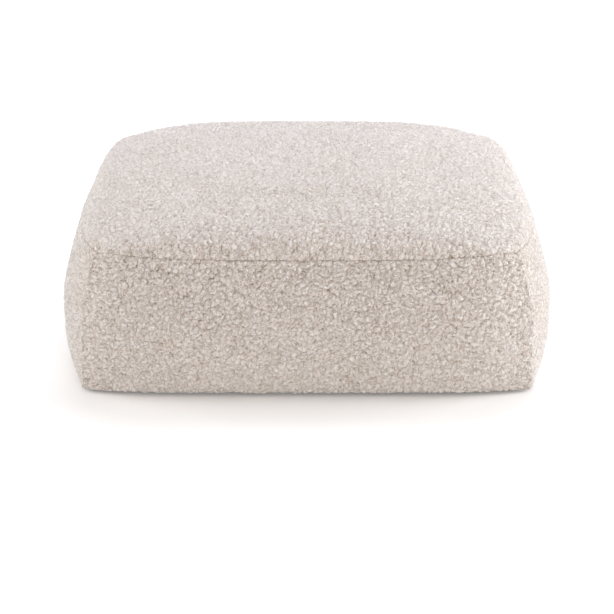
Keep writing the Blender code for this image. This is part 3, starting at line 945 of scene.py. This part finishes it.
def skin_band(name, node_name, slot, material, outer_at, inner_at, lumps, up_count=26, count=56):
    """A side band between two nested skins.

    Each skin is (depth, back depth, low, high, whether it takes the filled shape).
    """
    around = np.linspace(-1, 1, count + 1)
    across, deep = round_places(around)
    up = np.linspace(0.0, 1.0, up_count + 1)
    faces = []
    for depth, back_depth, low, high, is_filled in (outer_at, inner_at):
        heights = low + PARTED + (high - low - 2.0 * PARTED) * up
        columns = np.broadcast_to(across, (len(up), len(across)))
        rows = np.broadcast_to(deep, (len(up), len(deep)))
        z = np.broadcast_to(heights[:, None], columns.shape)
        points = skin(columns, rows, depth, back_depth, z)
        faces.append(filled(points) if is_filled else points)
    outer, inner = faces
    uneven = np.minimum(relief(outer.shape[:2], *lumps), 0.0008)
    uneven[:, -1] = uneven[:, 0]
    uneven *= np.sin(np.pi * up)[:, None]
    away = outer * np.array([1.0, 1.0, 0.0])
    away /= np.linalg.norm(away, axis=-1, keepdims=True)
    outer = outer + away * uneven[..., None]
    piece = slab(name, outer, inner, material, wrapped=True)
    return stands_for(piece, node_name)


def build_filling():
    liner_low = base_high.z + LAYER_GAP
    liner_high = CORNER_Z - LINER_DEPTH
    outside = (LINER_DEPTH, LINER_DEPTH + ZIP_ROOM)
    inside = (LINER_DEPTH + LINER, LINER_DEPTH + LINER + ZIP_ROOM)
    cloth = ("liner_nonwoven", nonwoven)
    faces = (*outside, liner_high, True), (*inside, liner_high - LINER, True)
    top = skin_panel("liner_top", "liner_top_panel", *cloth, *faces, FLAT)
    faces = (*outside, liner_low, True), (*inside, liner_low + LINER, True)
    base = skin_panel("liner_base", "liner_base_panel", *cloth, *faces, FLAT)
    faces = (*outside, liner_low, liner_high, True), (*inside, liner_low + LINER, liner_high - LINER, True)
    band = skin_band("liner_band", "liner_side_band", *cloth, *faces, FLAT)

    low = liner_low + LINER + LAYER_GAP
    high = CORNER_Z - WADDING_DEPTH
    outside = (WADDING_DEPTH, WADDING_DEPTH + WADDING_ZIP_ROOM)
    inside = (WADDING_DEPTH + WADDING, WADDING_DEPTH + WADDING)
    foam_low = low + BASE_WADDING
    foam_high = high - WADDING
    wrap = ("wadding_fibre", fibre)
    faces = (*outside, high, True), (*inside, foam_high, False)
    layers = [skin_panel("wadding_top", "wadding_top_layer", *wrap, *faces, LUMPS)]
    faces = (*outside, low, True), (*inside, foam_low, False)
    layers.append(skin_panel("wadding_base", "wadding_base_layer", *wrap, *faces, FLAT))
    faces = (*outside, low, high, True), (*inside, foam_low, foam_high, False)
    layers.append(skin_band("wadding_band", "wadding_side_band", *wrap, *faces, LUMPS))
    foam_slab("foam_lower", "foam_core_lower", firm_foam, core_low, core_high)
    foam_slab("foam_upper", "foam_core_upper", soft_foam, soft_core_low, soft_core_high)


FOAM_EDGE = 0.006
FOAM_STEP = 0.002
FOAM_WAVES = (31.0, 27.0, 60.0)  # radians a metre, of the faces' unevenness
FOAM_UNEVEN = 0.0022


def foam_slab(name, node_name, material, low, high):
    """A sawn foam slab: rounded edges, and faces that aren't quite flat."""
    radius = FOAM_EDGE
    long_shares = edge_places(64, high.x - low.x, FOAM_STEP, 4)
    tall_shares = edge_places(20, high.z - low.z, FOAM_STEP, 4)
    box, quads, _ = box_cage(long_shares, tall_shares)
    middle = np.array((low + high) / 2)
    half = np.array((high - low) / 2)
    spot = box * half
    core = np.clip(spot, -(half - radius), half - radius)
    away = spot - core
    length = np.linalg.norm(away, axis=1, keepdims=True)
    spot = np.where(length > 1e-9, core + away / np.maximum(length, 1e-9) * radius, spot)
    wave = np.sin(spot * FOAM_WAVES + (0.6, 0.0, 1.0)).prod(axis=1, keepdims=True)
    spot = spot * (1.0 - FOAM_UNEVEN * (1.0 + wave))
    mesh, _ = raw_mesh(name, spot + middle, [quads], len(quads))
    piece = add_object(name, mesh, material)
    stands_for(piece, node_name)


# ---------------------------------------------------------------- zip


COIL_PITCH = 0.0019
COIL_MIDDLE = 0.0019  # from the zip's middle line to the middle of a coil
COIL_REACH = 0.00185
COIL_RISE = 0.00078
COIL_START = 0.0005
WIRE = 0.00036
TAPE_INNER = 0.0007
TAPE_OUTER = 0.0110
TAPE_FULL = 0.8  # the weave's share of the CAD tape's thickness
RIB = 0.00010
TWILL = 0.00006
TWILL_PITCH = 0.0030


def tube_mesh(name, path, radius, sides, material):
    """A closed round wire along a path of points."""
    ahead = np.gradient(path, axis=0)
    ahead /= np.linalg.norm(ahead, axis=1, keepdims=True)
    side = np.cross(ahead, np.array([1.0, 0.0, 0.0]))
    side /= np.maximum(np.linalg.norm(side, axis=1, keepdims=True), 1e-9)
    third = np.cross(ahead, side)
    turn = np.arange(sides) / sides * math.tau
    rings = (
        path[:, None]
        + radius * np.cos(turn)[None, :, None] * side[:, None]
        + radius * np.sin(turn)[None, :, None] * third[:, None]
    )
    index = np.arange(len(path) * sides).reshape(len(path), sides)
    closed = np.concatenate([index, index[:, :1]], axis=1)
    caps = [index[0], index[-1][::-1]]
    quads = grid_quads(closed)[:, ::-1]
    mesh, _ = raw_mesh(name, rings.reshape(-1, 3), [quads, caps], len(quads))
    return add_object(name, mesh, material)


def build_chain():
    """Two nylon coils whose heads interlock along the middle line, each on its woven tape."""
    centre_y = (coil_low.y + coil_high.y) / 2
    steps = 14
    turns = int((coil_high.x - coil_low.x) / COIL_PITCH) - 1
    for name, sign, shift in (("upper", 1.0, 0.0), ("lower", -1.0, 0.5)):
        angle = np.arange(turns * steps + 1) / steps * math.tau
        x = coil_low.x + COIL_START + (angle / math.tau + shift) * COIL_PITCH
        from_middle = COIL_MIDDLE - COIL_REACH * np.cos(angle)
        y = centre_y + COIL_RISE * np.sin(angle)
        path = np.stack([x, y, ZIP_Z + sign * from_middle], axis=-1)
        coil = tube_mesh(f"coil_{name}", path, WIRE, 6, coil_nylon)
        stands_for(coil, f"zip_coil_{name}")

        low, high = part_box(f"zip_tape_{name}")
        columns = np.linspace(low.x, high.x, 260)
        rows = np.linspace(0.0, 1.0, 22)
        x, share = np.meshgrid(columns, rows)
        z = ZIP_Z + sign * (TAPE_INNER + (TAPE_OUTER - TAPE_INNER) * share)
        rib = RIB * np.sin(share * 8.0 * math.tau)
        twill = TWILL * np.sin(x / TWILL_PITCH * math.tau + share * 30.0)
        half = (high.y - low.y) / 2 * TAPE_FULL
        middle = (high.y + low.y) / 2
        front = np.stack([x, middle + half + rib + twill, z], axis=-1)
        back = np.stack([x, middle - half + rib * 0.5, z], axis=-1)
        order = (back, front) if sign > 0 else (front, back)
        tape = slab(f"tape_{name}", *order, tape_cloth)
        stands_for(tape, f"zip_tape_{name}")


def plate(shape, outline, low, high, bevel):
    """Add an outline in X and Z, extruded from low to high along Y, with softened edges."""
    near = [shape.verts.new((x, low, z)) for x, z in outline]
    far = [shape.verts.new((x, high, z)) for x, z in outline]
    faces = [shape.faces.new(near), shape.faces.new(far[::-1])]
    count = len(outline)
    for k in range(count):
        after = (k + 1) % count
        faces.append(shape.faces.new((near[after], near[k], far[k], far[after])))
    edges = {edge for face in faces for edge in face.edges}
    bmesh.ops.recalc_face_normals(shape, faces=faces)
    soften(shape, list(edges), bevel)


def soften(shape, edges, offset):
    """Bevel some edges a little."""
    bmesh.ops.bevel(
        shape, geom=edges, offset=offset, segments=2, affect="EDGES", profile=0.6, clamp_overlap=True
    )


def shape_object(name, shape, material):
    mesh = bpy.data.meshes.new(name)
    shape.to_mesh(mesh)
    shape.free()
    mesh.shade_smooth()
    mesh.set_sharp_from_angle(angle=math.radians(35))
    return add_object(name, mesh, material)


def rounded_bar(half_long, half_tall, radius, steps=5):
    """The outline of a bar with rounded corners, anticlockwise."""
    outline = []
    for quarter, (sx, sz) in enumerate(((1, 1), (-1, 1), (-1, -1), (1, -1))):
        for step in range(steps + 1):
            angle = (quarter + step / steps) * math.pi / 2
            x = sx * (half_long - radius) + radius * math.cos(angle)
            z = sz * (half_tall - radius) + radius * math.sin(angle)
            outline.append((x, z))
    return outline


# The slider's depths are from the cover's face, far and near
FRONT_PLATE = (0.0034, 0.0022)
BACK_PLATE = (0.0091, 0.0080)
RAILS = (0.0055, 0.0030)
POST = (0.0083, 0.0030)
SHIELD_LONG = 0.0054
SHIELD_TALL = 0.0045
SHIELD_ROUNDNESS = 0.62
SHIELD_TAPER = 0.10
RAIL_OFF = 0.0041
POST_OFF = 0.0022
PULL_BEVEL = 0.00022
BRIDGE_HALF = 0.0037
BRIDGE_FOOT = 0.0027
BRIDGE_RISE = 0.0035
BRIDGE_STRAP = ((-0.0013, -0.0004), (0.0013, -0.0004), (0.0013, 0.0003), (0.0, 0.0005), (-0.0013, 0.0003))


def build_slider():
    """A two-plate slider: a tapered body, a post, side flanges and the bridge for the pull."""
    centre_x = (slider_low.x + slider_high.x) / 2
    shield = []
    for k in range(40):
        angle = k / 40 * math.tau
        x, z = math.cos(angle), math.sin(angle)
        x = math.copysign(abs(x) ** SHIELD_ROUNDNESS, x)
        taper = (1.0 + SHIELD_TAPER * x) / (1.0 + SHIELD_TAPER)
        z = math.copysign(abs(z) ** SHIELD_ROUNDNESS, z) * taper
        shield.append((centre_x + SHIELD_LONG * x, ZIP_Z + SHIELD_TALL * z))
    shape = bmesh.new()
    for far, near in (FRONT_PLATE, BACK_PLATE):
        plate(shape, shield, ZIP_FACE - far, ZIP_FACE - near, 0.0003)
    for sign in (1.0, -1.0):
        bar = rounded_bar(0.0046, 0.00035, 0.0003, 3)
        rail = [(x + centre_x, ZIP_Z + sign * RAIL_OFF + z) for x, z in bar]
        plate(shape, rail, ZIP_FACE - RAILS[0], ZIP_FACE - RAILS[1], 0.0001)
    bar = rounded_bar(0.0020, 0.00036, 0.0003, 3)
    post = [(x + centre_x + POST_OFF, ZIP_Z + z) for x, z in bar]
    plate(shape, post, ZIP_FACE - POST[0], ZIP_FACE - POST[1], 0.00008)
    build_bridge(shape, centre_x, ZIP_FACE - BRIDGE_FOOT)
    slider = shape_object("slider_body", shape, nickel)
    stands_for(slider, "zip_slider", "zip_slider")


def build_bridge(shape, centre_x, foot):
    """The arch over the slider that the pull hangs on: a swept, slightly crowned strap."""
    steps = 14
    rings = []
    for k in range(steps + 1):
        angle = math.pi * k / steps
        z = ZIP_Z + BRIDGE_HALF * math.copysign(abs(math.cos(angle)) ** 0.5, math.cos(angle))
        y = foot + BRIDGE_RISE * math.sin(angle) ** 0.5 if 0 < k < steps else foot
        rings.append((y, z))
    loops = []
    for number, (y, z) in enumerate(rings):
        before = rings[max(number - 1, 0)]
        after = rings[min(number + 1, steps)]
        along = Vector((0.0, after[0] - before[0], after[1] - before[1])).normalized()
        outward = Vector((0.0, along.z, -along.y))
        loop = []
        for x, out in BRIDGE_STRAP:
            loop.append(shape.verts.new(Vector((centre_x + x, y, z)) - outward * out))
        loops.append(loop)
    faces = []
    for first, second in zip(loops, loops[1:]):
        for k in range(5):
            after = (k + 1) % 5
            faces.append(shape.faces.new((first[k], first[after], second[after], second[k])))
    faces.append(shape.faces.new(loops[0][::-1]))
    faces.append(shape.faces.new(loops[-1]))
    bmesh.ops.recalc_face_normals(shape, faces=faces)


def build_pull():
    """The pull tab: a flat tongue with a round end and an eye for the bridge."""
    low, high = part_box("zip_pull_tab")
    hinge_x = (slider_low.x + slider_high.x) / 2
    y = (low.y + high.y) / 2
    half = (high.y - low.y) / 2
    width = (high.z - low.z) / 2
    tip = hinge_x - low.x

    tongue = []
    for k in range(17):
        angle = math.pi / 2 + math.pi * k / 16
        tongue.append((-tip + width + width * math.cos(angle), width * math.sin(angle)))
    outer = tongue + [(-0.002, -width), (half, -width * 0.72), (half, width * 0.72), (-0.002, width)]
    eye = [(-half, -0.0020), (-half, 0.0020), (-0.0053, 0.0020), (-0.0053, -0.0020)]
    shape = bmesh.new()
    ringed_plate(shape, outer, eye, hinge_x, y - half, y + half)
    pull = shape_object("pull_tab", shape, nickel)
    stands_for(pull, "zip_pull_tab", "zip_pull")


def ringed_plate(shape, outer, hole, origin_x, low, high):
    """An outline with a hole, in X and Z about the hinge, extruded along Y and bevelled."""
    loops = []
    for outline in (outer, hole):
        verts = [shape.verts.new((origin_x + x, low, ZIP_Z + z)) for x, z in outline]
        count = len(verts)
        loops += [shape.edges.new((verts[k], verts[(k + 1) % count])) for k in range(count)]
    filled_face = bmesh.ops.triangle_fill(shape, use_beauty=True, use_dissolve=False, edges=loops)
    flat = [item for item in filled_face["geom"] if isinstance(item, bmesh.types.BMFace)]
    grown = bmesh.ops.extrude_face_region(shape, geom=flat)
    moved = [item for item in grown["geom"] if isinstance(item, bmesh.types.BMVert)]
    bmesh.ops.translate(shape, verts=moved, vec=(0.0, high - low, 0.0))
    bmesh.ops.recalc_face_normals(shape, faces=shape.faces[:])
    sharp = [edge for edge in shape.edges if edge.calc_face_angle(0.0) > math.radians(60)]
    soften(shape, sharp, PULL_BEVEL)


def build_stops():
    for name in ("zip_top_stop_upper", "zip_top_stop_lower", "zip_bottom_stop"):
        low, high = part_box(name)
        centre = (low + high) / 2
        half = (high - low) / 2
        outline = [(centre.x + x, centre.z + z) for x, z in rounded_bar(half.x, half.z, 0.0008, 4)]
        shape = bmesh.new()
        plate(shape, outline, low.y, high.y, 0.0003)
        stop = shape_object(name.replace("zip_", ""), shape, nickel)
        stands_for(stop, name)


LABEL_TUCK = 0.0006
LABEL_REACH = 0.0215
LABEL_HALF_GAP = 0.0003
LABEL_THICK = 0.00028
LABEL_SWAY = 0.0016


def build_label():
    """A blank satin label folded in half, its two cut ends caught in the corner seam."""
    reach = LABEL_REACH
    thick = LABEL_THICK
    steps = 26
    corner = np.array([-(CORNER + CORNER_OUT), CORNER + CORNER_OUT])
    outward = np.array([-1.0, 1.0]) / math.sqrt(2)
    across = np.array([1.0, 1.0]) / math.sqrt(2)
    along = np.linspace(-1.0, 1.0, 2 * steps + 1)
    travel = LABEL_TUCK + reach * (1.0 - np.abs(along))
    spread = LABEL_HALF_GAP * np.clip(np.abs(along) * 12.0, 0.0, 1.0) * np.sign(along)
    heights = np.linspace(label_low.z, label_high.z, 15)
    grids = []
    for offset in (thick / 2, -thick / 2):
        out, z = np.meshgrid(travel, heights)
        sway = LABEL_SWAY * (out / reach) ** 2 * np.sin((z - label_low.z) * 110.0)
        side = np.broadcast_to(spread + offset * np.sign(along + 1e-9), out.shape) + sway
        flat = corner + out[..., None] * outward + side[..., None] * across
        grids.append(np.concatenate([flat, z[..., None]], axis=-1))
    outer, inner = grids
    outer[:, steps] += np.append(outward * thick, 0.0)
    label = slab("care_label_blank", outer, inner, satin)
    stands_for(label, "care_label")


build_cover()
build_base()
build_filling()
build_chain()
build_slider()
build_pull()
build_stops()
build_label()


# ---------------------------------------------------------------- studio


def softbox(name, place, size, power, colour):
    light = bpy.data.lights.new(name, "AREA")
    light.shape = "RECTANGLE"
    light.size, light.size_y = size
    light.energy = power
    light.color = colour
    holder = bpy.data.objects.new(name, light)
    holder.location = place
    holder.rotation_mode = "QUATERNION"
    holder.rotation_quaternion = (Vector((0, 0, 0.1)) - Vector(place)).to_track_quat("-Z", "Y")
    bpy.context.scene.collection.objects.link(holder)


STAGE = 14.0
STAGE_LOW = -0.0005
STAGE_GLOW = (0.14, 0.60)  # the floor's own light near the cushion, and far off where lamps don't reach
STAGE_REACH = (1.2, 4.0)


def studio():
    scene = bpy.context.scene
    scene.view_settings.view_transform = "Standard"
    world = bpy.data.worlds.new("studio")
    scene.world = world
    world.use_nodes = True
    background = world.node_tree.nodes["Background"]
    background.inputs["Color"].default_value = (1.0, 0.99, 0.98, 1.0)
    background.inputs["Strength"].default_value = 0.50

    corners = [(-STAGE, -STAGE, 0), (STAGE, -STAGE, 0), (STAGE, STAGE, 0), (-STAGE, STAGE, 0)]
    floor_mesh = bpy.data.meshes.new("floor")
    floor_mesh.from_pydata(corners, [], [(0, 1, 2, 3)])
    floor_material, _, shader = new_material("floor")
    shader.inputs["Base Color"].default_value = (0.95, 0.95, 0.95, 1.0)
    shader.inputs["Roughness"].default_value = 0.8
    shader.inputs["Emission Color"].default_value = (1.0, 1.0, 1.0, 1.0)
    tree = floor_material.node_tree
    distance = tree.nodes.new("ShaderNodeVectorMath")
    distance.operation = "LENGTH"
    tree.links.new(object_place(tree), distance.inputs[0])
    spread = tree.nodes.new("ShaderNodeMapRange")
    spread.inputs["From Min"].default_value, spread.inputs["From Max"].default_value = STAGE_REACH
    spread.inputs["To Min"].default_value, spread.inputs["To Max"].default_value = STAGE_GLOW
    tree.links.new(distance.outputs["Value"], spread.inputs["Value"])
    tree.links.new(spread.outputs["Result"], shader.inputs["Emission Strength"])
    floor = add_object("floor", floor_mesh, floor_material)
    floor.location.z = STAGE_LOW
    softbox("overhead", (0.2, 1.6, 2.3), (2.4, 2.0), 37.5, (1.0, 1.01, 1.16))
    softbox("right", (2.4, 0.1, 0.9), (1.4, 1.4), 41.0, (1.0, 1.01, 1.02))
    softbox("left", (-2.4, 0.3, 1.0), (1.4, 1.4), 26.0, (1.0, 0.99, 0.98))
    softbox("front", (0.2, -3.2, 1.5), (2.4, 1.6), 25.0, (1.0, 0.86, 0.73))


def camera():
    distance = 2.70
    elevation = math.radians(20.7)
    aim = math.radians(0.17)  # a little above the origin
    lens = bpy.data.cameras.new("camera")
    lens.sensor_width = 36.0
    lens.lens = 114.6
    lens.clip_end = 100.0
    holder = bpy.data.objects.new("camera", lens)
    holder.location = (0.0, -distance * math.cos(elevation), distance * math.sin(elevation))
    holder.rotation_euler = (math.radians(90) - elevation + aim, 0.0, 0.0)
    bpy.context.scene.collection.objects.link(holder)
    bpy.context.scene.camera = holder


studio()
camera()
